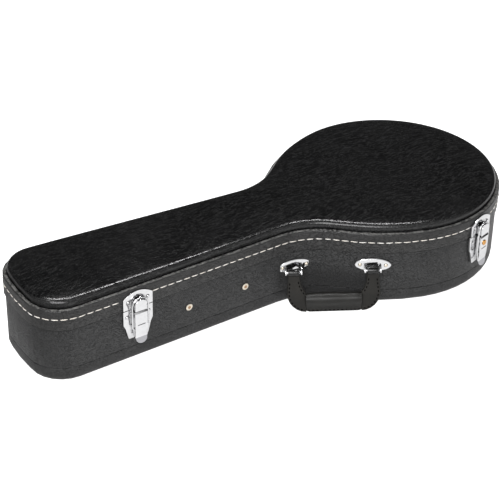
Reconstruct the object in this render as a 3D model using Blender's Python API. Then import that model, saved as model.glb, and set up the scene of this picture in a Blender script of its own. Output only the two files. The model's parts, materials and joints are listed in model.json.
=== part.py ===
"""Hard-shell mandolin case: a round-bodied ply shell with a straight neck, covered in black vinyl.

Metres, +Z up. The origin is on the floor under the centre of the round bout. The head end lies
towards -X. The handle and the two draw latches are on the -Y side, and the hinges on the +Y side.
"""
import math

import bmesh
import bpy
from mathutils import Matrix, Vector

# Plan outline of the lid band, the widest ring of the case
BOUT_RADIUS = 0.155
HEAD_REACH = 0.5731          # bout centre to the head end
WAIST_HALF = 0.0507          # half width of the neck's sides, produced to the bout centre
HEAD_HALF = 0.0786           # half width of the same lines at the head end
HEAD_CORNER = 0.0496
HEAD_BULGE = 0.0013
SHOULDER_RADIUS = 0.2376
SHOULDER_START = math.radians(104.5)
WAIST_RADIUS = 0.0936

# Heights
EDGE_RADIUS = 0.010          # rounded lower edge of the bottom panel
CREASE_Z = 0.0217            # where the bottom panel's covering ends
SPLIT_Z = 0.081              # between body and lid
BAND_TOP_Z = 0.1103
PANEL_EDGE_Z = 0.1204
CROWN = 0.0050               # rise of the padded lid above its rolled edge
CROWN_REACH = 0.044          # how far in from the band the crown keeps rising

# Walls and fits
GAP = 0.0003                 # between pieces that touch
SPLIT_GAP = 0.0006
BODY_INSET = 0.0020          # the body wall stands back from the lid band
WALL = 0.0060
PANEL_THICK = 0.0065
ROLL_LIP = 0.0065             # how far the roll's inner lip stands in from its outside
RIM = 0.0025                 # upturned rim of the bottom panel
BAND_WALL = 0.0050
LINING = 0.0025
LIP = 0.0070                 # the lining board stands this far above the split
PAD = 0.0060

# Fitted inside
WELL_RADIUS = 0.132
WELL_CENTRE_X = 0.006
WELL_TAIL_X = -0.200
WELL_TAIL_RADIUS = 0.036
NECK_SLOT_HALF = 0.029
BED_TOP_Z = 0.072
REST_LENGTH = 0.030
REST_Z = 0.056
FRONT_PARTITION_X = -0.2725
REAR_PARTITION_X = -0.3604
PARTITION = 0.006
PARTITION_Z = 0.066
NOTCH_Z = 0.057
FLAP_Z = 0.050
FLAP = 0.004
ROD_RADIUS = 0.00125
KNUCKLE_WALL = 0.0018
LEDGE = 0.006
RIBBON = (0.021, 0.014, 0.0012)
RIVET_Z = 0.0503             # tubular rivets through the wall into the partitions
WALL_RIVET = 0.0043

# Draw latches: where they sit, and sizes in their wall frame
NECK_LATCH_X = -0.4385
BOUT_LATCH_ANGLE = math.radians(-71.7)
PLATE_HALF = 0.0215
PLATE_FACE = 0.0010          # front of the base plate, out from the lid band
STRIKE_FACE = 0.0016
STRIKE_SHOULDER_Z = 0.0985
STRIKE_TOP_Z = 0.1070
BASE_SHOULDER_Z = 0.0595
BASE_BOTTOM_Z = 0.0372
BASE_BOTTOM_HALF = 0.0147
BASE_CORNER = 0.0014
LEVER_HALF = 0.0090
LEVER_FACE = 0.0094
LEVER_SHEET = 0.0012
LEVER_TOP_Z = 0.0788
LEVER_FOLD_Z = 0.0490
LEVER_FOOT_Z = 0.0407
TAB_Z = 0.0318
TAB_FLARE = 0.0022
TAB_STEP = 0.0006
LEVER_AXIS = (0.0054, 0.0760)   # out, up
LEVER_PIN_RADIUS = 0.0011
EAR_SHEET = 0.0016
EAR_RADIUS = 0.0024
EAR_FOOT = 0.0030             # the ear slants down to the plate, clear of the lever's top
BAIL_AXIS = (0.0066, 0.0545)
BAIL_HALF = 0.0118
BAIL_TOP_Z = 0.0988
WIRE_RADIUS = 0.0011
HOOK_HALF = 0.0084
HOOK_TOP_Z = 0.0945
SLOT_Z = 0.0597
SLOT_SIZE = (0.0115, 0.0012)
LOCK_Z = 0.0678
LOCK_RADIUS = 0.0036
RIVET_RADIUS = 0.0022
STRIKE_RIVET_Z = 0.0935
BASE_RIVET_Z = 0.0710
SHANK_RADIUS = 0.0016

# Hinges on the straight line that touches both the bout and the head corner
HINGE_OUT = 0.0034
KNUCKLE_RADIUS = 0.0030
HINGE_PIN_RADIUS = 0.0013
LEAF_HALF = 0.0140
LEAF_REACH = 0.0200
LEAF_SHEET = 0.0016
KNUCKLE_HALF = 0.0049

# Handle
LEFT_MOUNT = (math.radians(-100.5), 0.0580, 0.0122)    # wall azimuth, height of the plate centre,
RIGHT_MOUNT = (math.radians(-122.8), 0.0630, 0.0088)   # how far the bar stands off the wall
MOUNT_OVAL = (0.0245, 0.00975)
MOUNT_FACE = 0.0006
MOUNT_RIVET = 0.0173
AXIS_DROP = 0.0045
BAR_RADIUS = 0.0022
EAR_SPREAD = 0.0095
HANDLE_TILT = math.radians(15.5)
HANDLE_DROP = 0.0553
STRAP_TOP_HALF = 0.0075
STRAP_THICK = 0.0050
STRAP_OUTER = 0.0098         # the strap's outer edge beyond the centre of its bar
STRAP_INNER = 0.0100
GRIP_HALF = 0.0367
GRIP_TOP = 0.0285
GRIP_RADIUS = 0.0093
GRIP_EDGE = 0.0023
CORE = (0.0450, 0.0015, 0.0070)

# Points along each arc of half the outline
BOUT_STEPS, SHOULDER_STEPS, WAIST_STEPS, CORNER_STEPS, END_STEPS = 15, 4, 6, 6, 1


# Outline

NECK_TURN = math.atan((HEAD_HALF - WAIST_HALF) / HEAD_REACH)
NECK_NORMAL = Vector((math.sin(NECK_TURN), math.cos(NECK_TURN)))
NECK_OFFSET = NECK_NORMAL.y * WAIST_HALF
SHOULDER_CENTRE = -(SHOULDER_RADIUS - BOUT_RADIUS) * Vector((math.cos(SHOULDER_START),
                                                             math.sin(SHOULDER_START)))


def waist_centre():
    """Centre of the concave arc that touches the neck's side and the shoulder arc."""
    across = NECK_OFFSET + WAIST_RADIUS - NECK_NORMAL.dot(SHOULDER_CENTRE)
    along = math.sqrt((SHOULDER_RADIUS + WAIST_RADIUS) ** 2 - across ** 2)
    tangent = Vector((NECK_NORMAL.y, -NECK_NORMAL.x))
    return SHOULDER_CENTRE + across * NECK_NORMAL - along * tangent


WAIST_CENTRE = waist_centre()
SHOULDER_END = (WAIST_CENTRE - SHOULDER_CENTRE).angle_signed(Vector((1, 0)))
CORNER_CENTRE = Vector((HEAD_CORNER - HEAD_REACH,
                        (NECK_OFFSET - HEAD_CORNER - NECK_NORMAL.x * (HEAD_CORNER - HEAD_REACH))
                        / NECK_NORMAL.y))


def direction(angle):
    return Vector((math.cos(angle), math.sin(angle)))


def arc(centre, radius, start, end, steps):
    return [centre + radius * direction(start + (end - start) * i / steps) for i in range(steps + 1)]


def case_outline(inset=0.0):
    """Anticlockwise plan outline, moved inwards by inset; the lower half mirrors the upper."""
    neck_angle = math.atan2(NECK_NORMAL.y, NECK_NORMAL.x)
    half = arc(Vector((0, 0)), BOUT_RADIUS - inset, 0, SHOULDER_START, BOUT_STEPS)
    half += arc(SHOULDER_CENTRE, SHOULDER_RADIUS - inset, SHOULDER_START, SHOULDER_END,
                SHOULDER_STEPS)[1:]
    half += arc(WAIST_CENTRE, WAIST_RADIUS + inset, SHOULDER_END - math.pi, neck_angle - math.pi,
                WAIST_STEPS)[1:]
    half += arc(CORNER_CENTRE, HEAD_CORNER - inset, neck_angle, math.pi, CORNER_STEPS)
    corner_y = CORNER_CENTRE.y
    for i in range(1, END_STEPS + 1):
        y = corner_y * (1 - i / END_STEPS)
        half.append(Vector((inset - HEAD_REACH - HEAD_BULGE * (1 - (y / corner_y) ** 2), y)))
    lower = [Vector((p.x, -p.y)) for p in reversed(half[1:-1])]
    return half + lower


def on_bout(azimuth, inset=0.0):
    return (BOUT_RADIUS - inset) * direction(azimuth), direction(azimuth)


def on_shoulder(azimuth, inset=0.0):
    """Point of the -Y shoulder whose outward normal has this azimuth."""
    centre = Vector((SHOULDER_CENTRE.x, -SHOULDER_CENTRE.y))
    return centre + (SHOULDER_RADIUS - inset) * direction(azimuth), direction(azimuth)


def on_waist(azimuth, inset=0.0):
    """Point of the -Y hollow waist whose outward normal has this azimuth."""
    centre = Vector((WAIST_CENTRE.x, -WAIST_CENTRE.y))
    return centre - (WAIST_RADIUS + inset) * direction(azimuth), direction(azimuth)


def on_neck(x, side, inset=0.0):
    """Point of the neck's straight side, on +Y or -Y."""
    y = (NECK_OFFSET - inset - NECK_NORMAL.x * x) / NECK_NORMAL.y
    return Vector((x, side * y)), Vector((NECK_NORMAL.x, side * NECK_NORMAL.y))


def wall_frame(point, normal, z=0.0):
    """Frame on the wall: X along it, Y outwards, Z up."""
    out = Vector((normal.x, normal.y, 0)).normalized()
    along = out.cross(Vector((0, 0, 1)))
    rotation = Matrix((along, out, Vector((0, 0, 1)))).transposed().to_4x4()
    return Matrix.Translation((point.x, point.y, z)) @ rotation


# Mesh helpers

def closed(bm):
    bmesh.ops.remove_doubles(bm, verts=bm.verts, dist=1e-6)
    bmesh.ops.recalc_face_normals(bm, faces=bm.faces)
    return bm


def loft(rings, ring_closed=False):
    """Skin a list of equal rings; either capped at both ends or joined end to end."""
    bm = bmesh.new()
    loops = [[bm.verts.new(p) for p in ring] for ring in rings]
    pairs = list(zip(loops, loops[1:]))
    if ring_closed:
        pairs.append((loops[-1], loops[0]))
    for low, high in pairs:
        for i in range(len(low)):
            j = (i + 1) % len(low)
            bm.faces.new((low[i], low[j], high[j], high[i]))
    if not ring_closed:
        bm.faces.new(loops[0])
        bm.faces.new(loops[-1])
    return closed(bm)


def plan_levels(levels, ring_closed=False):
    """Skin the case outline through (inset, height) pairs."""
    return loft([[(p.x, p.y, z) for p in case_outline(inset)] for inset, z in levels], ring_closed)


def prism(points, move):
    """Extrude a flat polygon of 3-D points along a vector."""
    bm = bmesh.new()
    face = bm.faces.new([bm.verts.new(p) for p in points])
    grown = bmesh.ops.extrude_face_region(bm, geom=[face])["geom"]
    bmesh.ops.translate(bm, verts=[v for v in grown if isinstance(v, bmesh.types.BMVert)], vec=move)
    return closed(bm)


def front_slab(points, inner, outer):
    """Slab in a wall frame from its (along, up) outline, between two distances out."""
    return prism([(u, inner, z) for u, z in points], (0, outer - inner, 0))


def side_slab(points, left, right):
    """Slab in a wall frame from its (out, up) outline, between two places along."""
    return prism([(left, o, z) for o, z in points], (right - left, 0, 0))


def block(low, high):
    corners = [(low[0], low[1], low[2]), (high[0], low[1], low[2]),
               (high[0], high[1], low[2]), (low[0], high[1], low[2])]
    return prism(corners, (0, 0, high[2] - low[2]))


def rod(start, end, radius, sides=16):
    """Round bar between two points."""
    start, end = Vector(start), Vector(end)
    turn = (end - start).to_track_quat('Z', 'Y').to_matrix()
    circle = [start + turn @ Vector((radius * math.cos(2 * math.pi * i / sides),
                                     radius * math.sin(2 * math.pi * i / sides), 0))
              for i in range(sides)]
    return prism(circle, end - start)


def turned(profile, sides=12):
    """Solid of revolution about Y from (radius, out) pairs, inner end first."""
    rings = [[(r * math.cos(2 * math.pi * i / sides), o, r * math.sin(2 * math.pi * i / sides))
              for i in range(sides)] for r, o in profile]
    return loft(rings)


# Object helpers

def finish(name, colour, roughness, metallic=0.0):
    mat = bpy.data.materials.new(name)
    mat.use_nodes = True
    shader = mat.node_tree.nodes["Principled BSDF"]
    shader.inputs["Base Color"].default_value = (*colour, 1)
    shader.inputs["Roughness"].default_value = roughness
    shader.inputs["Metallic"].default_value = metallic
    mat.diffuse_color = (*colour, 1)
    return mat


VINYL = ((0.012, 0.012, 0.013), 0.45)
PLUSH = ((0.030, 0.030, 0.034), 0.95)
CHROME = ((0.80, 0.80, 0.80), 0.15, 1.0)
LEATHER = ((0.035, 0.032, 0.028), 0.55)
BRASS = ((0.72, 0.50, 0.20), 0.25, 1.0)
CREAM = ((0.75, 0.70, 0.62), 0.40, 0.6)


def add(name, bm, look, place=None, parent=None, smooth=30):
    """Put a shape in the scene. place is its frame; a parent's own frame comes off again."""
    mesh = bpy.data.meshes.new(name)
    if place is not None:
        bm.transform(place)
    if parent is not None:
        bm.transform(parent.matrix_world.inverted())
    bm.to_mesh(mesh)
    bm.free()
    mesh.shade_smooth()
    mesh.set_sharp_from_angle(angle=math.radians(smooth))
    obj = bpy.data.objects.new(name, mesh)
    bpy.context.scene.collection.objects.link(obj)
    if parent is not None:
        obj.parent = parent
    if look is not None:
        obj.data.materials.append(finish(name, *look))
    return obj


def guide(name, bm, place=None):
    """A cutter, left out of the case itself."""
    obj = add(name, bm, None, place)
    obj.hide_render = True
    obj.display_type = 'WIRE'
    return obj


def combine(obj, other, operation='DIFFERENCE'):
    mod = obj.modifiers.new(other.name, 'BOOLEAN')
    mod.operation = operation
    mod.solver = 'EXACT'
    mod.object = other
    return obj


def soften(obj, width, segments=1, angle=40):
    mod = obj.modifiers.new("soft edges", 'BEVEL')
    mod.width = width
    mod.segments = segments
    mod.limit_method = 'ANGLE'
    mod.angle_limit = math.radians(angle)
    return obj


def axis_empty(name, frame, parent=None):
    empty = bpy.data.objects.new(name, None)
    bpy.context.scene.collection.objects.link(empty)
    empty.empty_display_size = 0.02
    if parent is not None:
        empty.parent = parent
        empty.matrix_parent_inverse = parent.matrix_world.inverted()
    empty.matrix_world = frame
    bpy.context.view_layer.update()
    return empty


# Body shell

def make_bottom_panel():
    """Tray with a rounded lower edge; its rim ends at the crease."""
    inner = BODY_INSET + RIM
    levels = [(BODY_INSET + EDGE_RADIUS * (1 - math.sin(a)), EDGE_RADIUS * (1 - math.cos(a)))
              for a in (math.radians(d) for d in (0, 22.5, 45, 67.5, 90))]
    levels += [(BODY_INSET, CREASE_Z - GAP), (inner, CREASE_Z - GAP), (inner, PANEL_THICK)]
    return add("bottom_panel", plan_levels(levels), VINYL)


def make_body_wall():
    """Bent ply wall, rebated over the bottom panel's rim."""
    inner = BODY_INSET + WALL
    rebate = BODY_INSET + RIM + GAP
    profile = [(BODY_INSET, CREASE_Z + GAP), (BODY_INSET, SPLIT_Z - SPLIT_GAP / 2),
               (inner, SPLIT_Z - SPLIT_GAP / 2), (inner, PANEL_THICK + GAP),
               (rebate, PANEL_THICK + GAP), (rebate, CREASE_Z + GAP)]
    return add("body_wall", plan_levels(profile, ring_closed=True), VINYL)


LINING_FACE = BODY_INSET + WALL + GAP
LINING_BACK = LINING_FACE + LINING
FIT = LINING_BACK + GAP


def make_lining_board():
    """Plush-covered board inside the wall; it stands above the split and centres the lid."""
    top = SPLIT_Z + LIP
    chamfer = LINING / 3
    profile = [(LINING_FACE, PANEL_THICK + GAP), (LINING_FACE, top - chamfer),
               (LINING_FACE + chamfer, top), (LINING_BACK - chamfer, top),
               (LINING_BACK, top - chamfer), (LINING_BACK, PANEL_THICK + GAP)]
    return add("lining_board", plan_levels(profile, ring_closed=True), PLUSH)


PAD_TOP = PANEL_THICK + GAP + PAD


def make_floor_pad():
    return add("floor_pad", plan_levels([(FIT, PANEL_THICK + GAP), (FIT, PAD_TOP)]), PLUSH)


def well_outline():
    """Pear-shaped well with the neck's slot running out of its narrow end."""
    spread = WELL_CENTRE_X - WELL_TAIL_X
    meet = math.pi - math.acos((WELL_RADIUS - WELL_TAIL_RADIUS) / spread)
    slot = math.pi - math.asin(NECK_SLOT_HALF / WELL_TAIL_RADIUS)
    half = arc(Vector((WELL_CENTRE_X, 0)), WELL_RADIUS, 0, meet, 14)
    half += arc(Vector((WELL_TAIL_X, 0)), WELL_TAIL_RADIUS, meet, slot, 2)
    half.append(Vector((FRONT_PARTITION_X - PARTITION, NECK_SLOT_HALF)))
    return half + [Vector((p.x, -p.y)) for p in reversed(half[1:])]


def make_body_bed():
    """Foam bed round the well; it ends at the front partition."""
    bottom = PAD_TOP + GAP
    bed = add("body_bed", plan_levels([(FIT, bottom), (FIT, BED_TOP_Z)]), PLUSH)
    end = FRONT_PARTITION_X + PARTITION / 2 + GAP
    behind = guide("cut_behind_bed", block((-1, -1, 0), (end, 1, 1)))
    well = guide("cut_well", prism([(p.x, p.y, PAD_TOP - PAD) for p in well_outline()],
                                   (0, 0, SPLIT_Z)))
    combine(bed, behind)
    combine(bed, well)
    return bed


def make_neck_rest():
    """Saddle that carries the mandolin's neck, between the cheeks of the slot."""
    half = NECK_SLOT_HALF - GAP
    bottom = PAD_TOP + GAP
    saddle = half * 0.8
    points = [(half, bottom), (half, REST_Z)]
    points += [(saddle * math.cos(a), REST_Z - saddle * 0.55 * math.sin(a))
               for a in (math.pi * i / 8 for i in range(9))]
    points += [(-half, REST_Z), (-half, bottom)]
    front = FRONT_PARTITION_X + PARTITION / 2 + GAP
    shape = prism([(front, y, z) for y, z in points], (REST_LENGTH, 0, 0))
    return add("neck_rest", shape, PLUSH)


def make_partition(name, x, ledge):
    """Board across the neck, notched for the mandolin's neck, with a ledge for the flap."""
    half = on_neck(x + PARTITION / 2, 1, FIT)[0].y
    bottom = PAD_TOP + GAP
    notch = NECK_SLOT_HALF
    points = [(-half, bottom), (half, bottom), (half, PARTITION_Z), (notch, PARTITION_Z),
              (notch * 0.8, NOTCH_Z), (-notch * 0.8, NOTCH_Z), (-notch, PARTITION_Z),
              (-half, PARTITION_Z)]
    board = prism([(x - PARTITION / 2, y, z) for y, z in points], (PARTITION, 0, 0))
    partition = add(name, board, PLUSH)
    if ledge:
        low = (x - PARTITION / 2 - LEDGE, -half, FLAP_Z - FLAP - GAP - LEDGE)
        high = (x, half, FLAP_Z - FLAP - GAP)
        combine(partition, guide("add_ledge", block(low, high)), 'UNION')
    return partition


def make_wall_rivets(wall, lining):
    """Tubular rivets through the wall and lining into the partitions' ends."""
    for label, x in (("front", FRONT_PARTITION_X), ("rear", REAR_PARTITION_X)):
        for side_name, side in (("latch_side", -1), ("hinge_side", 1)):
            point, normal = on_neck(x, side)
            frame = wall_frame(point, normal, RIVET_Z)
            hole = guide(f"cut_{label}_{side_name}_rivet",
                         rod((0, 0.01, 0), (0, -0.02, 0), SHANK_RADIUS + GAP), frame)
            combine(wall, hole)
            combine(lining, hole)
            face = GAP - BODY_INSET
            profile = [(SHANK_RADIUS, -LINING_BACK + GAP), (SHANK_RADIUS, face), (WALL_RIVET, face),
                       (WALL_RIVET, face + 0.0006), (WALL_RIVET * 0.7, face + 0.0014),
                       (WALL_RIVET * 0.5, face + 0.0012), (WALL_RIVET * 0.35, face + 0.0004)]
            add(f"partition_rivet_{label}_{side_name}", turned(profile), CREAM, frame)


def make_compartment():
    """Accessory compartment between the partitions: a hinged flap on a rod, with a pull ribbon."""
    bore = ROD_RADIUS + GAP
    barrel = bore + KNUCKLE_WALL
    hinge_x = REAR_PARTITION_X + PARTITION / 2 + GAP + barrel
    hinge_z = FLAP_Z - barrel
    half = on_neck(FRONT_PARTITION_X, 1, FIT)[0].y - GAP
    front = FRONT_PARTITION_X - PARTITION / 2 - GAP
    axis = axis_empty("flap_axis", Matrix.Translation((hinge_x, 0, hinge_z)))
    points = [(hinge_x + barrel * math.cos(a), hinge_z + barrel * math.sin(a))
              for a in (math.radians(d) for d in range(90, 331, 24))]
    points += [(hinge_x + barrel, FLAP_Z - FLAP), (front, FLAP_Z - FLAP), (front, FLAP_Z)]
    flap = add("compartment_flap", prism([(x, -half, z) for x, z in points], (0, 2 * half, 0)),
               PLUSH, parent=axis)
    ends = ((hinge_x, -half - GAP, hinge_z), (hinge_x, half + GAP, hinge_z))
    combine(flap, guide("cut_flap_bore", rod(ends[0], ends[1], bore)))
    rod_half = on_neck(hinge_x, 1, FIT)[0].y
    add("compartment_hinge_rod", rod((hinge_x, -rod_half, hinge_z), (hinge_x, rod_half, hinge_z),
                                     ROD_RADIUS, 10), CHROME)
    length, width, thick = RIBBON
    low = (front - length, -width / 2, FLAP_Z + GAP)
    add("pull_ribbon", block(low, (front, width / 2, low[2] + thick)), PLUSH, parent=axis)


# Lid

def make_lid(axis):
    """Lid band with a ledge, the crowned top panel that sits in it, and the plush pad inside."""
    step = 0.0015
    ledge_z = BAND_TOP_Z - 0.0040
    ledge_inset = BAND_WALL + 0.0040
    profile = [(0, SPLIT_Z + SPLIT_GAP / 2), (0, BAND_TOP_Z - step), (step, BAND_TOP_Z),
               (BAND_WALL, BAND_TOP_Z), (BAND_WALL + 0.0005, ledge_z), (ledge_inset, ledge_z),
               (ledge_inset, ledge_z - 0.0030), (BAND_WALL, ledge_z - 0.0070),
               (BAND_WALL, SPLIT_Z + SPLIT_GAP / 2)]
    add("lid_band", plan_levels(profile, ring_closed=True), VINYL, parent=axis)

    seat = ledge_z + GAP
    roll = BAND_WALL + 0.0002
    edge = PANEL_EDGE_Z + 0.0008
    rise = CROWN - 0.0008
    crown = [(roll + 0.0040 + CROWN_REACH * s, edge + rise * (1 - (1 - s) ** 2))
             for s in (0.85, 0.45, 0.2)]
    outside = [(roll + 0.0040, edge), (roll + 0.0010, seat + 0.0118), (roll, seat + 0.0078),
               (roll + 0.0006, seat + 0.0035), (roll + 0.0018, seat)]
    under = PANEL_EDGE_Z - 0.0030
    inside = [(roll + ROLL_LIP, seat), (roll + 0.0110, under - 0.0040), (roll + 0.0250, under)]
    add("lid_top_panel", plan_levels(crown + outside + inside), VINYL, parent=axis)

    fit = ledge_inset + GAP
    pad = [(roll + 0.0250, under - 0.0095), (fit + 0.0035, seat - 0.0060), (fit, seat - 0.0045),
           (fit, seat - GAP), (roll + ROLL_LIP, seat - GAP), (roll + 0.0112, under - 0.0043),
           (roll + 0.0250, under - GAP)]
    add("lid_pad", plan_levels(pad), PLUSH, parent=axis)


def wall_cutter(name, inset, low, high):
    """The case's own outline, so that hardware is cut to sit on the wall."""
    return guide(name, plan_levels([(inset - GAP, low), (inset - GAP, high)]))


# Hinges

def hinge_frames():
    """Frames where one straight line touches both the bout and the head corner."""
    between = -CORNER_CENTRE
    tilt = math.acos((HEAD_CORNER - BOUT_RADIUS) / between.length)
    normal = direction(math.atan2(between.y, between.x) + tilt)
    bout = wall_frame(BOUT_RADIUS * normal, normal)
    head = wall_frame(CORNER_CENTRE + HEAD_CORNER * normal, normal)
    return bout, head


def leaf_profile(face, near, direction_up):
    """Leaf and its knuckle in one outline, as (out, up); direction_up is -1 below the split."""
    far, back = LEAF_REACH, -0.009
    points = [(back, near), (back, far), (face, far), (face, 0.0065)]
    points += [(HINGE_OUT + KNUCKLE_RADIUS * math.cos(a), KNUCKLE_RADIUS * math.sin(a))
               for a in (math.radians(d) for d in range(100, -181, -20))]
    points += [(min(face, HINGE_OUT - KNUCKLE_RADIUS), near)]
    return [(o, SPLIT_Z + direction_up * z) for o, z in points]


def make_hinge(label, frame, lid_axis, body_cutter, lid_cutter):
    """Knuckled hinge: two body knuckles outside one lid knuckle, on a headless pin."""
    axis = (HINGE_OUT, SPLIT_Z)
    bore = HINGE_PIN_RADIUS + GAP
    pin_hole = guide(f"cut_{label}_bore", rod((-0.03, *axis), (0.03, *axis), bore, 12), frame)
    inner = KNUCKLE_HALF + GAP

    body_shape = side_slab(leaf_profile(LEAF_SHEET - BODY_INSET, 0.0010, -1), -LEAF_HALF, LEAF_HALF)
    body_leaf = add(f"{label}_hinge_body_leaf", body_shape, CHROME, frame)
    notch = block((-inner, -GAP, SPLIT_Z - 0.0075), (inner, 0.01, SPLIT_Z + 0.01))
    combine(body_leaf, guide(f"cut_{label}_body_notch", notch, frame))
    combine(body_leaf, pin_hole)
    combine(body_leaf, body_cutter)

    lid_shape = side_slab(leaf_profile(LEAF_SHEET, 0.0006, 1), -LEAF_HALF, LEAF_HALF)
    lid_leaf = add(f"{label}_hinge_lid_leaf", lid_shape, CHROME, frame, lid_axis)
    for side, low, high in (("left", -0.02, -KNUCKLE_HALF), ("right", KNUCKLE_HALF, 0.02)):
        notch = block((low, -0.02, SPLIT_Z - 0.01), (high, 0.01, SPLIT_Z + KNUCKLE_RADIUS + 0.0008))
        combine(lid_leaf, guide(f"cut_{label}_lid_notch_{side}", notch, frame))
        above = block((low, LEAF_SHEET, SPLIT_Z - 0.01), (high, 0.01, SPLIT_Z + 0.01))
        combine(lid_leaf, guide(f"cut_{label}_lid_face_{side}", above, frame))
    combine(lid_leaf, pin_hole)
    combine(lid_leaf, lid_cutter)

    add(f"{label}_hinge_pin", rod((-LEAF_HALF, *axis), (LEAF_HALF, *axis), HINGE_PIN_RADIUS, 12),
        CHROME, frame)


# Latches

def rivet(name, frame, along, z, face, depth, parent=None, radius=RIVET_RADIUS, look=CHROME):
    """Domed rivet head on a plate, with its shank in the plate's hole."""
    seat = face + GAP
    profile = [(SHANK_RADIUS * 0.8, depth), (SHANK_RADIUS * 0.8, seat), (radius, seat),
               (radius * 0.85, seat + 0.0007), (radius * 0.4, seat + 0.0011)]
    shape = turned(profile, 10)
    bmesh.ops.translate(shape, verts=shape.verts, vec=(along, 0, z))
    add(name, shape, look, frame, parent)


def rivet_hole(obj, name, frame, along, z):
    hole = rod((along, 0.02, z), (along, -0.02, z), SHANK_RADIUS * 0.8 + GAP, 10)
    combine(obj, guide(name, hole, frame))


def make_strike(label, frame, lid_axis, lid_cutter):
    """Domed strike plate on the lid, with the block that the bail's arch closes over."""
    half = PLATE_HALF
    rise = STRIKE_TOP_Z - STRIKE_SHOULDER_Z
    bottom = SPLIT_Z + 0.0008
    points = [(-half, bottom), (half, bottom), (half, STRIKE_SHOULDER_Z)]
    points += [(half * share, STRIKE_SHOULDER_Z + rise * (1 - share ** 2))
               for share in (0.9, 0.75, 0.5, 0.25, 0, -0.25, -0.5, -0.75, -0.9)]
    points += [(-half, STRIKE_SHOULDER_Z)]
    strike = add(f"{label}_latch_strike", front_slab(points, -0.006, STRIKE_FACE), CHROME, frame,
                 lid_axis)
    nose = BAIL_AXIS[0] - WIRE_RADIUS - 0.0004
    hook = [(0, bottom + 0.0006), (nose, bottom + 0.0006), (nose, HOOK_TOP_Z - 0.0012),
            (nose - 0.0012, HOOK_TOP_Z), (0, HOOK_TOP_Z)]
    combine(strike, guide(f"add_{label}_hook", side_slab(hook, -HOOK_HALF, HOOK_HALF), frame), 'UNION')
    for side, along in (("left", 0.0145), ("right", -0.0145)):
        rivet_hole(strike, f"cut_{label}_strike_{side}", frame, along, STRIKE_RIVET_Z)
        rivet(f"{label}_strike_rivet_{side}", frame, along, STRIKE_RIVET_Z, STRIKE_FACE, GAP * 2,
              lid_axis)
    combine(strike, lid_cutter)


def make_base(label, frame, body_cutter):
    """Shouldered base plate with two ears that carry the lever's pin."""
    half = PLATE_HALF
    shoulder = 0.0055
    points = [(-half, BASE_SHOULDER_Z), (-half + 0.0028, BASE_SHOULDER_Z - shoulder),
              (-BASE_BOTTOM_HALF, BASE_BOTTOM_Z + BASE_CORNER),
              (BASE_CORNER - BASE_BOTTOM_HALF, BASE_BOTTOM_Z),
              (BASE_BOTTOM_HALF - BASE_CORNER, BASE_BOTTOM_Z),
              (BASE_BOTTOM_HALF, BASE_BOTTOM_Z + BASE_CORNER),
              (half - 0.0028, BASE_SHOULDER_Z - shoulder), (half, BASE_SHOULDER_Z),
              (half, SPLIT_Z - 0.0006), (-half, SPLIT_Z - 0.0006)]
    base = add(f"{label}_latch_base", front_slab(points, -0.008, PLATE_FACE), CHROME, frame)
    out, up = LEVER_AXIS
    ear = [(0, up - EAR_RADIUS - EAR_FOOT), (out, up - EAR_RADIUS)]
    ear += [(out + EAR_RADIUS * math.cos(a), up + EAR_RADIUS * math.sin(a))
            for a in (math.radians(d) for d in (-60, -30, 0, 30, 60, 90, 120, 150, 175))]
    ear += [(out * 0.4, up - EAR_RADIUS * 0.23), (0, up - EAR_RADIUS * 0.5)]
    outer = LEVER_HALF - LEVER_SHEET - 0.0005
    for side, left in (("left", outer - EAR_SHEET), ("right", -outer)):
        shape = side_slab(ear, left, left + EAR_SHEET)
        combine(base, guide(f"add_{label}_ear_{side}", shape, frame), 'UNION')
    bore = rod((-0.02, out, up), (0.02, out, up), LEVER_PIN_RADIUS + GAP, 12)
    combine(base, guide(f"cut_{label}_pin_hole", bore, frame))
    for side, along in (("left", 0.0160), ("right", -0.0160)):
        rivet_hole(base, f"cut_{label}_base_{side}", frame, along, BASE_RIVET_Z)
        rivet(f"{label}_base_rivet_{side}", frame, along, BASE_RIVET_Z, PLATE_FACE,
              -BODY_INSET + GAP * 2)
    combine(base, body_cutter)
    pin_half = LEVER_HALF + 0.0008
    add(f"{label}_lever_pin", rod((-pin_half, out, up), (pin_half, out, up), LEVER_PIN_RADIUS, 10),
        CHROME, frame)


def lever_section(half, out, up, depth, slant):
    """Channel section of the lever: a face with a flange down each side."""
    sheet = min(LEVER_SHEET, depth * 0.7)
    back = (out - sheet, up - sheet * slant)
    foot = (out - depth, up - depth * slant)
    return [(-half, *foot), (-half, out, up), (half, out, up), (half, *foot),
            (half - LEVER_SHEET, *foot), (half - LEVER_SHEET, *back),
            (LEVER_SHEET - half, *back), (LEVER_SHEET - half, *foot)]


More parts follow.
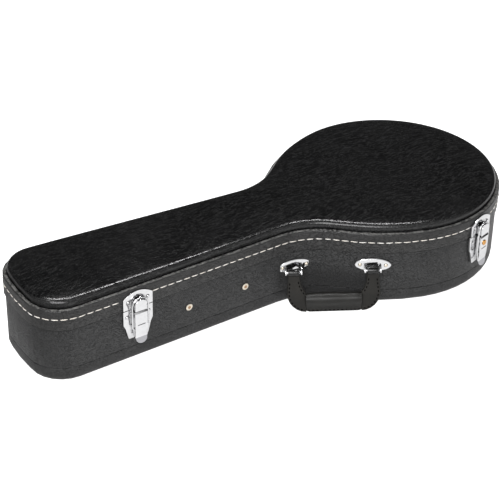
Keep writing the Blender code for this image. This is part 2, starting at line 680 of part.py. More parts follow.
def make_lever(label, frame, lever_axis, locking):
    """Pressed lever: pivot end, face, fold and finger tab."""
    deep = LEVER_FACE - 0.0024
    thin = LEVER_SHEET + GAP
    tab = LEVER_HALF * 0.94
    sections = [lever_section(LEVER_HALF, LEVER_FACE - 0.0018, LEVER_TOP_Z, deep - 0.0018, 0),
                lever_section(LEVER_HALF, LEVER_FACE, LEVER_TOP_Z - 0.0018, deep, 0),
                lever_section(LEVER_HALF, LEVER_FACE, SLOT_Z, deep, 0),
                lever_section(LEVER_HALF, LEVER_FACE - 0.0003, LEVER_FOLD_Z, deep - 0.0003, 0),
                lever_section(LEVER_HALF, LEVER_FACE - 0.0014, LEVER_FOOT_Z, thin * 2, 0.1),
                lever_section(tab, LEVER_FACE - 0.0012, LEVER_FOOT_Z - TAB_STEP, thin, 0)]
    drop = LEVER_FOOT_Z - TAB_STEP - TAB_Z
    for turn in (30, 52, 70, 82):
        angle = math.radians(turn)
        sections.append(lever_section(tab * math.cos(angle) + 0.0003,
                                      LEVER_FACE - 0.0012 + TAB_FLARE * math.sin(angle),
                                      LEVER_FOOT_Z - TAB_STEP - drop * math.sin(angle), thin, 0))
    lever = add(f"{label}_latch_lever", loft(sections), CHROME, frame, lever_axis)
    wide, tall = SLOT_SIZE
    slot = block((-wide / 2, LEVER_FACE - 0.003, SLOT_Z - tall / 2),
                 (wide / 2, LEVER_FACE + 0.003, SLOT_Z + tall / 2))
    combine(lever, guide(f"cut_{label}_slot", slot, frame))
    for name, (out, up), radius in (("pivot", LEVER_AXIS, LEVER_PIN_RADIUS),
                                    ("bail", BAIL_AXIS, WIRE_RADIUS)):
        hole = rod((-0.02, out, up), (0.02, out, up), radius + GAP, 12)
        combine(lever, guide(f"cut_{label}_{name}_holes", hole, frame))
    if locking:
        hole = rod((0, LEVER_FACE - 0.004, LOCK_Z), (0, LEVER_FACE + 0.004, LOCK_Z),
                   LOCK_RADIUS + GAP, 16)
        combine(lever, guide("cut_lock_hole", hole, frame))


def make_bail(label, frame, bail_axis):
    """Wire bail: two legs with inturned ends in the lever's flanges, and a round arch."""
    out, up = BAIL_AXIS
    end = LEVER_HALF - LEVER_SHEET + GAP
    bend = 0.0016
    crown = BAIL_TOP_Z - BAIL_HALF
    leg = [(end, up), (BAIL_HALF - bend, up), (BAIL_HALF - bend * 0.3, up + bend * 0.3),
           (BAIL_HALF, up + bend)]
    arch = [(BAIL_HALF * math.cos(a), crown + BAIL_HALF * math.sin(a))
            for a in (math.radians(d) for d in range(0, 181, 15))]
    path = leg + arch + [(-u, z) for u, z in reversed(leg)]
    data = bpy.data.curves.new(f"{label}_latch_bail", 'CURVE')
    data.dimensions = '3D'
    data.bevel_depth = WIRE_RADIUS
    data.bevel_resolution = 2
    data.use_fill_caps = True
    spline = data.splines.new('POLY')
    spline.points.add(len(path) - 1)
    local = bail_axis.matrix_world.inverted() @ frame
    for point, (u, z) in zip(spline.points, path):
        point.co = (*(local @ Vector((u, out, z))), 1)
    obj = bpy.data.objects.new(f"{label}_latch_bail", data)
    bpy.context.scene.collection.objects.link(obj)
    obj.parent = bail_axis
    data.materials.append(finish(obj.name, *CHROME))


def make_lock(frame, lever_axis):
    """Lock cylinder with a key slot and a cam behind the lever's face."""
    axis = axis_empty("lock_axis", frame @ Matrix.Translation((0, LEVER_FACE, LOCK_Z)), lever_axis)
    back = PLATE_FACE + 0.0012
    front = LEVER_FACE + 0.0010
    cylinder = rod((0, back, LOCK_Z), (0, front, LOCK_Z), LOCK_RADIUS, 16)
    lock = add("lock_cylinder", cylinder, BRASS, frame, axis)
    cam = block((-0.0016, back, LOCK_Z - 0.0056), (0.0016, back + 0.0012, LOCK_Z))
    combine(lock, guide("add_cam", cam, frame), 'UNION')
    key = block((-0.0005, front - 0.0025, LOCK_Z - 0.0022), (0.0005, front + 0.001, LOCK_Z + 0.0022))
    combine(lock, guide("cut_key_slot", key, frame))


def make_latch(label, frame, lid_axis, body_cutter, lid_cutter, locking=False):
    make_strike(label, frame, lid_axis, lid_cutter)
    make_base(label, frame, body_cutter)
    lever_axis = axis_empty(f"{label}_lever_axis", frame @ Matrix.Translation((0, *LEVER_AXIS)))
    bail_axis = axis_empty(f"{label}_bail_axis", frame @ Matrix.Translation((0, *BAIL_AXIS)),
                           lever_axis)
    make_lever(label, frame, lever_axis, locking)
    make_bail(label, frame, bail_axis)
    if locking:
        make_lock(frame, lever_axis)


# Handle

def mount_point(place, finder):
    azimuth, z, _ = place
    point, normal = finder(azimuth, BODY_INSET)
    return Vector((point.x, point.y, z)), normal


def handle_frame():
    """Frame at the middle of the two bars: X along them, Y outwards, Z up."""
    left = mount_point(LEFT_MOUNT, on_waist)[0]
    right = mount_point(RIGHT_MOUNT, on_shoulder)[0]
    facing = Vector((0, 0, 1)).cross(left - right).normalized()
    left += LEFT_MOUNT[2] * facing
    right += RIGHT_MOUNT[2] * facing
    along = (left - right).normalized()
    out = Vector((0, 0, 1)).cross(along).normalized()
    up = along.cross(out)
    middle = (left + right) / 2 - Vector((0, 0, AXIS_DROP))
    rotation = Matrix((along, out, up)).transposed().to_4x4()
    return Matrix.Translation(middle) @ rotation, (left - right).length / 2


def make_mount(label, place, finder, side, bend, chord, reach, body_cutter):
    """Oval plate with two ears that carry the bar, and two rivets; bend is the wall's curvature."""
    point, normal = mount_point(place, finder)
    frame = wall_frame(Vector((point.x, point.y)) + BODY_INSET * normal, normal, point.z)
    long, short = MOUNT_OVAL
    oval = [(long * math.cos(a), short * math.sin(a))
            for a in (2 * math.pi * i / 24 for i in range(24))]
    plate = add(f"handle_mount_{label}", front_slab(oval, -0.010, MOUNT_FACE), CHROME, frame)
    soften(plate, 0.0007)
    ear_round = BAR_RADIUS + 0.0016
    ear = [(-0.020, 0.0080), (-0.0020, 0.0060)]
    ear += [(ear_round * math.cos(a), ear_round * math.sin(a))
            for a in (math.radians(d) for d in (60, 30, 0, -30, -60, -90))]
    ear += [(-0.020, -0.0020)]
    for edge, inner in (("near", EAR_SPREAD), ("far", -EAR_SPREAD - 0.0018)):
        shape = side_slab(ear, side * reach + inner, side * reach + inner + 0.0018)
        combine(plate, guide(f"add_{label}_ear_{edge}", shape, chord), 'UNION')
    bar_half = EAR_SPREAD + 0.0026
    ends = ((side * reach - bar_half, 0, 0), (side * reach + bar_half, 0, 0))
    combine(plate, guide(f"cut_{label}_bar_hole", rod(*ends, BAR_RADIUS + GAP, 14), chord))
    wall_out = bend * MOUNT_RIVET ** 2 / 2 - BODY_INSET
    for edge, along in (("a", MOUNT_RIVET), ("b", -MOUNT_RIVET)):
        rivet_hole(plate, f"cut_{label}_mount_{edge}", frame, along, 0)
        rivet(f"handle_mount_{label}_rivet_{edge}", frame, along, 0, MOUNT_FACE,
              wall_out + GAP * 2, radius=0.0026)
    combine(plate, body_cutter)
    bar_half = EAR_SPREAD + 0.0016
    ends = ((side * reach - bar_half, 0, 0), (side * reach + bar_half, 0, 0))
    add(f"handle_bar_{label}", rod(*ends, BAR_RADIUS, 12), CHROME, chord)


def strap_outline(reach):
    """One arm of the handle in its own plane, from the bar to the grip's end seam."""
    outer = reach + STRAP_OUTER
    inner = reach - STRAP_INNER
    seam = GRIP_HALF + GAP
    top = STRAP_TOP_HALF
    bottom = -HANDLE_DROP
    corner_x, corner_z = outer - seam, 0.026
    points = [(reach - top, -0.0030), (inner + 0.0008, -0.0160), (inner - 0.0020, -0.0235),
              (seam, -GRIP_TOP)]
    points += [(seam + corner_x * math.sin(a), bottom + corner_z * (1 - math.cos(a)))
               for a in (math.radians(d) for d in (0, 15, 30, 45, 60, 75, 90))]
    points += [(outer - 0.0010, -0.0180), (reach + top, -0.0030)]
    return points


def make_handle(frame, reach, handle_axis):
    """Leather straps looped over the bars, a padded grip stitched at its lower edge, and a core."""
    core_half, core_thick, core_tall = CORE
    core_z = -GRIP_TOP - GRIP_RADIUS
    slot = block((-core_half - GAP, -core_thick - GAP, core_z - core_tall - GAP),
                 (core_half + GAP, core_thick + GAP, core_z + core_tall + GAP))
    core_slot = guide("cut_core_slot", slot, frame)
    bore = BAR_RADIUS + GAP
    thick = STRAP_THICK / 2
    for label, side in (("left", 1), ("right", -1)):
        points = [(side * x, z) for x, z in strap_outline(reach)]
        strap = add(f"handle_strap_{label}", front_slab(points, -thick, thick), LEATHER, frame,
                    handle_axis)
        soften(strap, 0.0008)
        low, high = side * reach - STRAP_TOP_HALF, side * reach + STRAP_TOP_HALF
        loop = rod((low, 0, 0), (high, 0, 0), bore + thick, 16)
        combine(strap, guide(f"add_{label}_loop", loop, frame), 'UNION')
        hole = rod((low - 0.002, 0, 0), (high + 0.002, 0, 0), bore, 16)
        combine(strap, guide(f"cut_{label}_loop", hole, frame))
        combine(strap, core_slot)

    rings = []
    for x, scale in ((-GRIP_HALF, 0.86), (-GRIP_HALF * 0.8, 0.97), (0, 1.0),
                     (GRIP_HALF * 0.8, 0.97), (GRIP_HALF, 0.86)):
        ring = []
        centre = -GRIP_TOP - GRIP_RADIUS
        for i in range(9):
            a = math.radians(-20 + 220 * i / 8)
            ring.append((x, GRIP_RADIUS * scale * math.cos(a),
                         centre + GRIP_RADIUS * scale * math.sin(a)))
        ring += [(x, -GRIP_EDGE, -HANDLE_DROP + 0.005), (x, -GRIP_EDGE * 0.8, -HANDLE_DROP),
                 (x, GRIP_EDGE * 0.8, -HANDLE_DROP), (x, GRIP_EDGE, -HANDLE_DROP + 0.005)]
        rings.append(ring)
    grip = add("handle_grip", loft(rings), LEATHER, frame, handle_axis)
    combine(grip, core_slot)
    add("handle_core", block((-core_half, -core_thick, core_z - core_tall),
                             (core_half, core_thick, core_z + core_tall)), CHROME, frame,
        handle_axis)


def main():
    for obj in list(bpy.data.objects):
        bpy.data.objects.remove(obj, do_unlink=True)

    body_cutter = wall_cutter("body_outline", BODY_INSET, -0.01, SPLIT_Z + 0.02)
    lid_cutter = wall_cutter("lid_outline", 0.0, 0.0, BAND_TOP_Z + 0.03)

    make_bottom_panel()
    wall = make_body_wall()
    lining = make_lining_board()
    make_wall_rivets(wall, lining)
    make_floor_pad()
    make_body_bed()
    make_neck_rest()
    make_partition("front_partition", FRONT_PARTITION_X, ledge=True)
    make_partition("rear_partition", REAR_PARTITION_X, ledge=False)
    make_compartment()

    bout_hinge, head_hinge = hinge_frames()
    lid_axis = axis_empty("lid_axis", bout_hinge @ Matrix.Translation((0, HINGE_OUT, SPLIT_Z)))
    make_lid(lid_axis)
    make_hinge("bout", bout_hinge, lid_axis, body_cutter, lid_cutter)
    make_hinge("head", head_hinge, lid_axis, body_cutter, lid_cutter)

    neck_place = wall_frame(*on_neck(NECK_LATCH_X, -1))
    bout_place = wall_frame(*on_bout(BOUT_LATCH_ANGLE))
    make_latch("neck", neck_place, lid_axis, body_cutter, lid_cutter)
    make_latch("bout", bout_place, lid_axis, body_cutter, lid_cutter, locking=True)

    chord, reach = handle_frame()
    make_mount("left", LEFT_MOUNT, on_waist, 1, 1 / WAIST_RADIUS, chord, reach, body_cutter)
    make_mount("right", RIGHT_MOUNT, on_shoulder, -1, -1 / SHOULDER_RADIUS, chord, reach,
               body_cutter)
    hanging = chord @ Matrix.Rotation(HANDLE_TILT, 4, 'X')
    make_handle(hanging, reach, axis_empty("handle_axis", hanging))


main()
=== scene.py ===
"""Looks of the mandolin case: covered shell, stitching, latches, handle and plush lining."""
import json
import math
import random

import bmesh
import bpy
from mathutils import Matrix, Vector


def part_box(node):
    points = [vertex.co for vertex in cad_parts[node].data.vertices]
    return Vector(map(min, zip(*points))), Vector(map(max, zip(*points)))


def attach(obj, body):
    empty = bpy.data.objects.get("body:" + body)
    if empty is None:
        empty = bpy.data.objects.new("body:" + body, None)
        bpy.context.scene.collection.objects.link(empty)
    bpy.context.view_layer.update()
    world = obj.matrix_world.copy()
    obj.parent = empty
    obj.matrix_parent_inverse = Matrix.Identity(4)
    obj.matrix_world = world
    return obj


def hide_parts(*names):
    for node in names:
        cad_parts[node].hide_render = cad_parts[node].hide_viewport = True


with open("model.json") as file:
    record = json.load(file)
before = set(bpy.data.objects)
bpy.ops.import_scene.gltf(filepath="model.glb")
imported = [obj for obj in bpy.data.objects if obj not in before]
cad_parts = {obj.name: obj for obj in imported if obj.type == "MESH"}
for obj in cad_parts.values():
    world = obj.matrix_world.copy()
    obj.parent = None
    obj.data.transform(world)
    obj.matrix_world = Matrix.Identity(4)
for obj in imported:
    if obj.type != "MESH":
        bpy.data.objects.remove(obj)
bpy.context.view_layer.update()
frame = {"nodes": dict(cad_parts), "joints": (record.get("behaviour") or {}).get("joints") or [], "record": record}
NODES = frame["nodes"]
JOINTS = {joint["name"]: joint for joint in frame["joints"]}
RECORD = frame["record"]
BODY_OF = {node: body for body, nodes in RECORD["behaviour"]["bodies"].items() for node in nodes}
SLOT_OF = {part["node"]: part["material_slot"] for part in RECORD["subparts"]}
UP = Vector((0, 0, 1))

# Lid
STITCH_Z = 0.0973
STITCH_PITCH = 0.0118
STITCH_LENGTH = 0.0096
THREAD = 0.00135
STITCH_PROUD = THREAD * 0.2  # a stitch's middle lies this far out of the covering
STITCH_DIP = THREAD * 0.55   # and its ends this much lower than its middle
STRIKE_CLEAR = 0.0235        # no stitch comes nearer to a strike's middle
LEAF_CLEAR = 0.0160          # or to a hinge leaf's middle
UNDERSIDE = -0.25            # faces that look down more than this keep their CAD shape
ROLL_WIDTH = 0.007           # folds of the covering reach this far in from the lid's edge
CALM_WIDTH = 0.030           # the grain's relief is full from here inward
CALM_SHARE = 0.45            # and this share of it is left at the roll
EDGE_LINE = 0.0007           # height of the paler line along the band's top edge, painted highlight and rubbing

# Tubular rivets through the wall
RIVET_FLARE = 1.15
BORE_SIZE = (0.0052, 0.0013, 0.0052)
BORE_SUNK = 0.0009

# Latches, in the wall frame: out from the wall and up from the floor
TAB_TOP = 0.0402
LEVER_OUT = 0.0054           # the lever's pin
NOSE_HALF = 0.0084
NOSE_OUT = (0.0048, 0.0091)       # its back and its face
NOSE_UNDER = (0.0818, 0.0804)     # height of its lower edge, at the back and at the face
NOSE_CROWN = (0.0870, 0.0097)     # height and radius of its round top
NOSE_STEPS = 14

# Handle, in the frame of its hanging axis
HANDLE_TILT = math.radians(15.5)
HANDLE_DROP = 0.0553
GRIP_HALF = 0.0367
GRIP_ROLL_Z = -0.0378        # centre of the grip's roll
SEAM_PITCH = 0.0056
SEAM_LENGTH = 0.0030
SEAM_WIDTH = 0.0017
STRAP_MARGIN = 0.0019
STRAP_SEAM_TOP = -0.0115     # the straps' seams start below their folds
STRAP_LAP = 0.004            # no seam where a strap lies on the grip's end
GRIP_SEAM_OUT = 0.00215
GRIP_SEAM_UP = 0.0019        # above the handle's lowest line
FOLD_RADIUS = 0.0051
FOLD_SHEET = 0.0008
FOLD_HALF = 0.0074
FOLD_START = math.radians(62)
FOLD_SWEEP = math.radians(215)
FOLD_STEPS = 18
GRIP_FLAT = 0.008            # height of the grip's sewn lower edge, which doesn't bulge
GRIP_BULGE = 0.07
GRIP_WAVES = (105, 41)       # radians per metre along the grip
GRIP_PHASE = 0.6
GRIP_STRETCH = 1.035         # makes up for the length that rounding takes

# Ribbon
RIBBON_LIFT = 0.0005
RIBBON_THICK = 0.0006


# Shapes

def new_piece(name, bm, body, slot, material, smooth=35):
    """A finished piece: its mesh in place and riding on a body; the record slot it is given is not used."""
    bmesh.ops.recalc_face_normals(bm, faces=bm.faces)
    mesh = bpy.data.meshes.new(name)
    bm.to_mesh(mesh)
    bm.free()
    mesh.shade_smooth()
    mesh.set_sharp_from_angle(angle=math.radians(smooth))
    mesh.materials.append(material)
    obj = bpy.data.objects.new(name, mesh)
    bpy.context.scene.collection.objects.link(obj)
    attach(obj, body)
    return obj


def merged(*nodes):
    """The solids of CAD nodes as one mesh with shared corners and whole flat faces."""
    bm = bmesh.new()
    for node in nodes:
        bm.from_mesh(NODES[node].data)
    bmesh.ops.remove_doubles(bm, verts=bm.verts, dist=2e-6)
    bmesh.ops.dissolve_limit(bm, angle_limit=math.radians(0.6), verts=bm.verts, edges=bm.edges)
    return bm


def sharp_edges(bm, angle):
    return [e for e in bm.edges if len(e.link_faces) == 2
            and e.calc_face_angle(0) > math.radians(angle)]


def soften(bm, width, segments=2, angle=32):
    bmesh.ops.bevel(bm, geom=sharp_edges(bm, angle), offset=width, offset_type='OFFSET',
                    segments=segments, profile=0.5, affect='EDGES', material=-1,
                    clamp_overlap=True)


def standing_for(obj, *nodes):
    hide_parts(*nodes)
    return obj


def finished_copy(node, material, width=0.0003, segments=2, smooth=35):
    """A CAD node with its edges broken, as rolled or pressed ones are."""
    bm = merged(node)
    if width:
        soften(bm, width, segments)
    obj = new_piece(f"finished_{node}", bm, BODY_OF[node], SLOT_OF[node], material, smooth)
    return standing_for(obj, node)


def joint_frame(name):
    """X along a joint's axis, Y away from the case, Z up, at the joint."""
    joint = JOINTS[name]
    along = Vector(joint["axis"]).normalized()
    out = UP.cross(along).normalized()
    rotation = Matrix((along, out, along.cross(out))).transposed().to_4x4()
    return Matrix.Translation(joint["pos_m"]) @ rotation


def bead(bm, place, size):
    """A ball scaled to size, at place."""
    made = bmesh.ops.create_uvsphere(bm, u_segments=16, v_segments=8, radius=0.5)
    bmesh.ops.transform(bm, matrix=place @ Matrix.Diagonal((*size, 1)), verts=made["verts"])


def strand(bm, place, length, width, height, dip=0.0):
    """One stitch along X: a round thread whose ends can dip into the covering."""
    made = bmesh.ops.create_uvsphere(bm, u_segments=8, v_segments=6, radius=0.5,
                                     matrix=Matrix.Rotation(math.radians(90), 4, 'Y'))
    ends = width * 1.1
    for vert in made["verts"]:
        reach = max(-1.0, min(1.0, vert.co.x * 2))
        straight = (length - ends) / 2 * (1 if reach > 0.01 else -1 if reach < -0.01 else 0)
        along = vert.co.x * ends + straight
        vert.co = (along, vert.co.y * width - dip * (2 * along / length) ** 2, vert.co.z * height)
    bmesh.ops.transform(bm, matrix=place, verts=made["verts"])


def plan_loop(node, z):
    """Outer plan outline of a ring-shaped node at a height, in order."""
    bm = merged(node)
    bmesh.ops.bisect_plane(bm, geom=bm.verts[:] + bm.edges[:] + bm.faces[:], dist=1e-7,
                           plane_co=(0, 0, z), plane_no=(0, 0, 1),
                           clear_inner=True, clear_outer=True)
    start = max(bm.verts, key=lambda v: v.co.x)
    loop, edge = [start], start.link_edges[0]
    while True:
        ahead = edge.other_vert(loop[-1])
        if ahead is start:
            break
        loop.append(ahead)
        edge = next(e for e in ahead.link_edges if e is not edge)
    points = [v.co.copy() for v in loop]
    bm.free()
    return points


def walk(points, start, pitch):
    """Places along a closed outline: (point, direction, outward) at equal steps."""
    total = sum((b - a).length for a, b in zip(points, points[1:] + points[:1]))
    turn = sum(a.x * b.y - b.x * a.y for a, b in zip(points, points[1:] + points[:1]))
    count = round(total / pitch)
    step, ahead = total / count, start
    for a, b in zip(points, points[1:] + points[:1]):
        length = (b - a).length
        direction = (b - a) / length
        out = direction.cross(UP) * (1 if turn > 0 else -1)
        while ahead <= length:
            yield a + direction * ahead, direction, out
            ahead += step
        ahead -= length


# Materials

class Finish:
    """A Principled material with short calls for its nodes."""

    def __init__(self, name, colour, roughness, metallic=0.0, **sockets):
        self.mat = bpy.data.materials.new(name)
        self.mat.use_nodes = True
        self.tree = self.mat.node_tree
        self.shader = self.tree.nodes["Principled BSDF"]
        self.shader.inputs["Base Color"].default_value = (*colour, 1)
        self.shader.inputs["Roughness"].default_value = roughness
        self.shader.inputs["Metallic"].default_value = metallic
        for key, value in sockets.items():
            self.shader.inputs[key.replace("_", " ")].default_value = value
        self.mat.diffuse_color = (*colour, 1)
        self.place = self.add("ShaderNodeTexCoord").outputs["Object"]

    def add(self, kind, inputs=None, **settings):
        item = self.tree.nodes.new(kind)
        for key, value in settings.items():
            setattr(item, key, value)
        for key, value in (inputs or {}).items():
            self.set(item.inputs[key], value)
        return item

    def set(self, socket, value):
        if isinstance(value, bpy.types.NodeSocket):
            self.tree.links.new(value, socket)
        else:
            socket.default_value = value

    def mapped(self, scale, turn=0.0, source=None):
        """Coordinates turned about Z, then stretched."""
        turned = self.add("ShaderNodeMapping", {"Vector": source or self.place,
                                                "Rotation": (0, 0, -turn)}).outputs[0]
        return self.add("ShaderNodeMapping", {"Vector": turned, "Scale": scale}).outputs[0]

    def noise(self, source, scale, detail=3.0, rough=0.55, distortion=0.0):
        return self.add("ShaderNodeTexNoise", {"Vector": source, "Scale": scale, "Detail": detail,
                                               "Roughness": rough,
                                               "Distortion": distortion}).outputs[0]

    def cells(self, source, scale):
        return self.add("ShaderNodeTexVoronoi", {"Vector": source, "Scale": scale}).outputs[0]

    def maths(self, operation, a, b):
        item = self.add("ShaderNodeMath", operation=operation)
        self.set(item.inputs[0], a)
        self.set(item.inputs[1], b)
        return item.outputs[0]

    def fit(self, value, low, high, to_low=0.0, to_high=1.0):
        """The value moved from one range to another, and held within it."""
        return self.add("ShaderNodeMapRange", {"Value": value, "From Min": low, "From Max": high,
                                               "To Min": to_low, "To Max": to_high}).outputs[0]

    def blend(self, factor, a, b):
        item = self.add("ShaderNodeMix", data_type='RGBA')
        self.set(item.inputs["Factor"], factor)
        self.set(item.inputs["A"], a if isinstance(a, bpy.types.NodeSocket) else (*a, 1))
        self.set(item.inputs["B"], b if isinstance(b, bpy.types.NodeSocket) else (*b, 1))
        return item.outputs["Result"]

    def bump(self, height, distance, strength=1.0, under=None):
        inputs = {"Height": height, "Distance": distance, "Strength": strength}
        if under is not None:
            inputs["Normal"] = under
        return self.add("ShaderNodeBump", inputs).outputs[0]

    def use(self, socket, value):
        self.set(self.shader.inputs[socket], value)


GRAIN_TURN = math.radians(2)
GRAIN_DRIFT = (0.040, 0.040, 0.030)     # how far the creases wander
GRAIN_DEPTH = 0.0006
CREASE_WIDTH = 0.05                     # of the ripple's range, on each side of its middle
LID_STRETCH = (0.11, 1.0, 1.0)          # long creases on the lid, short ones on the walls
WALL_STRETCH = (0.45, 0.45, 1.0)
SWELL_STRETCH = (0.36, 1.0, 1.0)        # the lid's relief
RUBBED = (0.0265, 0.0265, 0.0268)
FOLD_DEPTH = 0.0011
BAND_FOOT, BAND_TOP = (corner.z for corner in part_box("lid_band"))
FOOT_LINE_SHARE = 0.40                        # the lower edge's paler line against the upper one's
LIP_SHADE = 0.0030                      # painted shadow: the wall is darker this far below the lid
# Paler tone of the band's edge lines: rubbing and a painted edge highlight.
WORN_AND_HIGHLIT_TONE = (0.15, 0.148, 0.142)


def stretched_relief(look, grain, relief):
    """Relief of the lid's covering: the grain calms towards the roll, and folds cross it."""
    around = look.add("ShaderNodeUVMap", uv_map="edge").outputs[0]
    inward = look.add("ShaderNodeSeparateXYZ", {"Vector": around}).outputs["Y"]
    calm = look.fit(inward, ROLL_WIDTH, CALM_WIDTH, relief * CALM_SHARE, relief)
    folds = look.noise(look.mapped((1.0, 0.16, 1.0), source=around), 420, 2.0, 0.6, 0.6)
    reach = look.fit(inward, 0.0, ROLL_WIDTH, 1.0, 0.0)
    folds = look.maths('MULTIPLY', look.fit(folds, 0.34, 0.66), reach)
    return look.bump(folds, FOLD_DEPTH, 0.9, look.bump(grain, GRAIN_DEPTH, calm))


def worn_and_highlit_lines(look, height, tone):
    """Broken paler lines along the band's edges: rubbing, and a painted edge highlight."""
    near_top = look.fit(height, BAND_TOP - EDGE_LINE, BAND_TOP - EDGE_LINE * 0.3)
    near_foot = look.fit(height, BAND_FOOT + EDGE_LINE * 0.5, BAND_FOOT + EDGE_LINE * 1.5,
                         FOOT_LINE_SHARE, 0.0)
    broken = look.fit(look.noise(look.place, 260, 3.0), 0.40, 0.55)
    edges = look.maths('MULTIPLY', look.maths('ADD', near_top, near_foot), broken)
    return look.blend(edges, tone, WORN_AND_HIGHLIT_TONE)


def vinyl(name, ground, crease, roughness, relief, size, lid=False, worn_and_highlit=False):
    """Grained black vinyl: fine wandering creases over pebbles, with painted light and shade along the creases."""
    look = Finish(name, ground, roughness, Specular_IOR_Level=0.5)
    drift = look.add("ShaderNodeTexNoise", {"Vector": look.place, "Scale": 9.0,
                                            "Detail": 1.0}).outputs[1]
    drift = look.add("ShaderNodeVectorMath", {0: drift, 1: GRAIN_DRIFT},
                     operation='MULTIPLY').outputs[0]
    bent = look.add("ShaderNodeVectorMath", {0: look.place, 1: drift}).outputs[0]
    stretch = LID_STRETCH if lid else WALL_STRETCH
    ripple = look.noise(look.mapped(stretch, GRAIN_TURN, bent), size, 2.0, 0.5)
    plates = look.fit(look.maths('PINGPONG', ripple, 0.5), 0.5, 0.5 - CREASE_WIDTH)
    swells = plates
    if lid:
        swells = look.noise(look.mapped(SWELL_STRETCH, GRAIN_TURN, bent), 430, 3.0)
        swells = look.fit(swells, 0.36, 0.64)
    pebbles = look.cells(look.mapped((0.6, 1.0, 1.0), GRAIN_TURN), 700)
    grain = look.maths('ADD', look.maths('MULTIPLY', swells, 0.75),
                       look.maths('MULTIPLY', pebbles, 0.35))
    if lid:
        look.use("Normal", stretched_relief(look, grain, relief))
    else:
        look.use("Normal", look.bump(grain, GRAIN_DEPTH, relief))
    # The crease lines get their own tone: lighter than the ground on the lid's top, a painted highlight, and
    # darker on the walls, painted shade.
    tone = look.blend(plates, crease, ground)
    height = look.add("ShaderNodeSeparateXYZ", {"Vector": look.place}).outputs["Z"]
    if worn_and_highlit:
        tone = worn_and_highlit_lines(look, height, tone)
    elif not lid:
        # Painted shadow: the wall under the band is darkened, as if shaded by the lid's lip.
        painted_lip_shadow = look.fit(height, BAND_FOOT - LIP_SHADE, BAND_FOOT - LIP_SHADE * 0.5)
        tone = look.blend(painted_lip_shadow, tone, crease)
    wear = look.fit(look.noise(look.place, 14, 4.0), 0.35, 0.70)
    look.use("Base Color", look.blend(look.maths('MULTIPLY', wear, 0.15), tone, RUBBED))
    look.use("Roughness", look.fit(wear, 0, 1, roughness - 0.04, roughness + 0.06))
    return look.mat


# Painted shade: how far the plating looks for crevices, and the near-black it is darkened to there.
CREVICE = 0.0024
CREVICE_SHADE_PAINT = (0.022, 0.022, 0.026)


def plated(name, colour, roughness, smudge=0.06, crevice=CREVICE):
    """Plated steel: faint smudges, the ripple of a pressing, and painted shade darkening its crevices."""
    look = Finish(name, colour, roughness, 1.0)
    smears = look.noise(look.place, 160, 4.0, 0.6)
    look.use("Roughness", look.fit(smears, 0.35, 0.7, roughness, roughness + smudge))
    look.use("Normal", look.bump(look.noise(look.place, 240, 2.0), 0.00006, 0.5))
    bright = look.blend(look.fit(smears, 0.4, 0.8), colour, tuple(c * 0.90 for c in colour))
    # Ambient occlusion darkens the colour in crevices and between parts: painted shade.
    open_sky = look.add("ShaderNodeAmbientOcclusion", {"Distance": crevice},
                        samples=12).outputs["AO"]
    look.use("Base Color", look.blend(look.fit(open_sky, 0.32, 0.78), CREVICE_SHADE_PAINT, bright))
    return look.mat


def leather(name, colour, light, roughness, shine=0.5):
    """Leather: fine pores over soft creases."""
    look = Finish(name, colour, roughness, Specular_IOR_Level=shine)
    pores = look.cells(look.place, 1300)
    creases = look.noise(look.place, 180, 4.0, 0.6, 0.4)
    look.use("Normal", look.bump(look.maths('ADD', look.maths('MULTIPLY', pores, 0.4), creases),
                                 0.00030, 0.6))
    wear = look.fit(look.noise(look.place, 45, 4.0), 0.35, 0.7)
    look.use("Base Color", look.blend(wear, colour, light))
    look.use("Roughness", look.fit(wear, 0, 1, roughness, roughness + 0.12))
    return look.mat


def plush(name, colour, light):
    """Short-pile plush with a soft nap."""
    look = Finish(name, colour, 0.95, Sheen_Weight=0.5, Sheen_Roughness=0.4,
                  Specular_IOR_Level=0.15)
    pile = look.noise(look.place, 2600, 2.0, 0.7)
    nap = look.fit(look.noise(look.place, 30, 3.0, 0.5, 0.5), 0.35, 0.65)
    look.use("Normal", look.bump(pile, 0.0005, 0.7))
    look.use("Base Color", look.blend(nap, colour, light))
    return look.mat


def thread(name, colour, light, shine=0.3):
    """Twisted sewing thread."""
    look = Finish(name, colour, 0.6, Sheen_Weight=shine * 0.6, Specular_IOR_Level=shine)
    twist = look.add("ShaderNodeTexWave", {"Vector": look.place, "Scale": 420.0,
                                           "Distortion": 1.0}).outputs[0]
    look.use("Normal", look.bump(twist, 0.0002, 0.5))
    look.use("Base Color", look.blend(look.fit(look.noise(look.place, 60), 0.4, 0.7), colour,
                                      light))
    return look.mat


# One vinyl in three materials: the lid's top is painted far darker and the walls and band lighter, painted shade
# and painted light for how each faces the lamps.
TOP_VINYL = vinyl("vinyl_top", (0.0030, 0.0030, 0.0032), (0.027, 0.027, 0.0273), 0.17,
                  relief=0.24, size=460, lid=True)
SIDE_VINYL = vinyl("vinyl_side", (0.026, 0.026, 0.0265), (0.0005, 0.0005, 0.0007), 0.38,
                   relief=1.3, size=420)
BAND_VINYL = vinyl("vinyl_band", (0.026, 0.0255, 0.0255), (0.0006, 0.0005, 0.0005), 0.38,
                   relief=1.3, size=420, worn_and_highlit=True)
CHROME = plated("chrome", (0.80, 0.80, 0.81), 0.07)
# The plates around the lever and bail get a wider reach of painted crevice shade.
SHADED_CHROME = plated("chrome_plate", (0.80, 0.80, 0.81), 0.09, crevice=0.0080)
